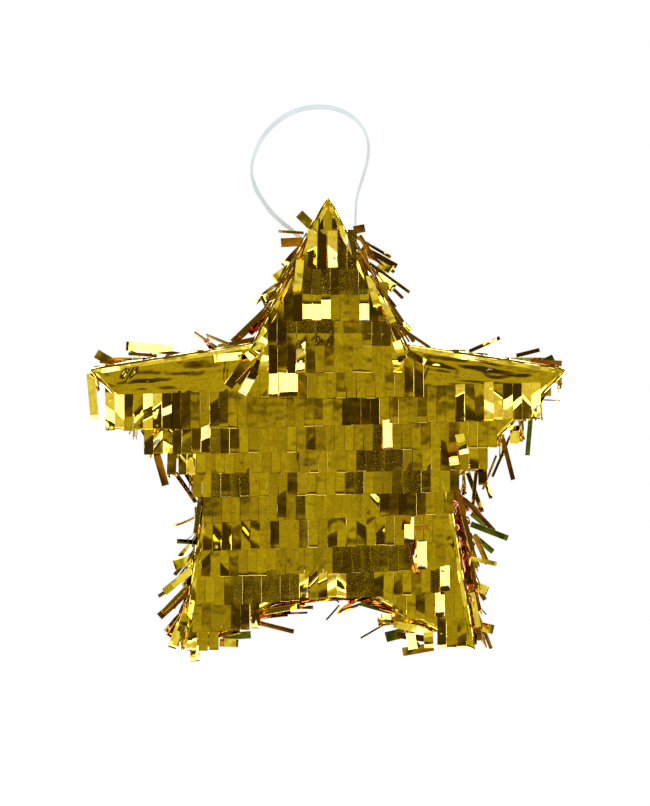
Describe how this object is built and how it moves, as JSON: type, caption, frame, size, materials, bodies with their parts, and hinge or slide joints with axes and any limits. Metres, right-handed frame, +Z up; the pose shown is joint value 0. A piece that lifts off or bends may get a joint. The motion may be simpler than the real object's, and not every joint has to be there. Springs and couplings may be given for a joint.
{
  "type": "star pinata",
  "caption": "Hollow five-pointed cardboard star covered in rows of fringed gold foil, hung by a ribbon loop through its top point, with a fill door in its back.",
  "frame": {"origin": "the hanging point: underside of the top of the ribbon loop, on the star's axis, where a hook or cord carries the pinata", "axes": "+Z up along the star's axis to the hook; the front faces -Y and +X is the star's right-hand arm as seen from the front; Y is its depth"},
  "size_m": [0.3328, 0.08, 0.3818],
  "materials": {
    "gold_foil": "gloss",
    "cardboard": "matte",
    "paper_tape": "matte",
    "white_ribbon": "satin"
  },
  "bodies": {
    "hanging_loop": {"hanging_ribbon": "white_ribbon"},
    "star": {"back_foil_arch": "gold_foil", "back_foil_arms": "gold_foil", "back_foil_left_leg": "gold_foil", "back_foil_lower_left": "gold_foil", "back_foil_lower_right": "gold_foil", "back_foil_neck": "gold_foil", "back_foil_right_leg": "gold_foil", "back_foil_top": "gold_foil", "back_foil_upper_left": "gold_foil", "back_foil_upper_right": "gold_foil", "back_foil_waist": "gold_foil", "back_panel": "cardboard", "front_foil_01": "gold_foil", "front_foil_02": "gold_foil", "front_foil_03": "gold_foil", "front_foil_04": "gold_foil", "front_foil_05": "gold_foil", "front_foil_06": "gold_foil", "front_foil_07": "gold_foil", "front_foil_08": "gold_foil", "front_foil_09": "gold_foil", "front_foil_10": "gold_foil", "front_foil_11": "gold_foil", "front_foil_12": "gold_foil", "front_foil_13": "gold_foil", "front_foil_14": "gold_foil", "front_foil_15": "gold_foil", "front_foil_16_left": "gold_foil", "front_foil_16_right": "gold_foil", "front_foil_17_left": "gold_foil", "front_foil_17_right": "gold_foil", "front_panel": "cardboard", "ribbon_knot_left": "white_ribbon", "ribbon_knot_right": "white_ribbon", "side_fringe_left_arm_a": "gold_foil", "side_fringe_left_arm_b": "gold_foil", "side_fringe_left_leg_a": "gold_foil", "side_fringe_left_leg_b": "gold_foil", "side_fringe_right_arm_a": "gold_foil", "side_fringe_right_arm_b": "gold_foil", "side_fringe_right_leg_a": "gold_foil", "side_fringe_right_leg_b": "gold_foil", "side_fringe_top_a": "gold_foil", "side_fringe_top_b": "gold_foil", "valley_tape_bottom": "paper_tape", "valley_tape_lower_left": "paper_tape", "valley_tape_lower_right": "paper_tape", "valley_tape_upper_left": "paper_tape", "valley_tape_upper_right": "paper_tape", "wall_left_arm": "cardboard", "wall_left_leg": "cardboard", "wall_right_arm": "cardboard", "wall_right_leg": "cardboard", "wall_top": "cardboard"},
    "fill_door": {"fill_door": "cardboard", "door_foil_upper": "gold_foil", "door_foil_lower": "gold_foil"}
  },
  "joints": [
    {"name": "star_swing", "type": "hinge", "parent": "hanging_loop", "child": "star", "pos_m": [0, 0, -0.0955], "axis": [1, 0, 0], "range_deg": [-60, 60]},
    {"name": "fill_door_hinge", "type": "hinge", "parent": "star", "child": "fill_door", "pos_m": [0, 0.04, -0.2034], "axis": [1, 0, 0], "range_deg": [0, 110]}
  ]
}
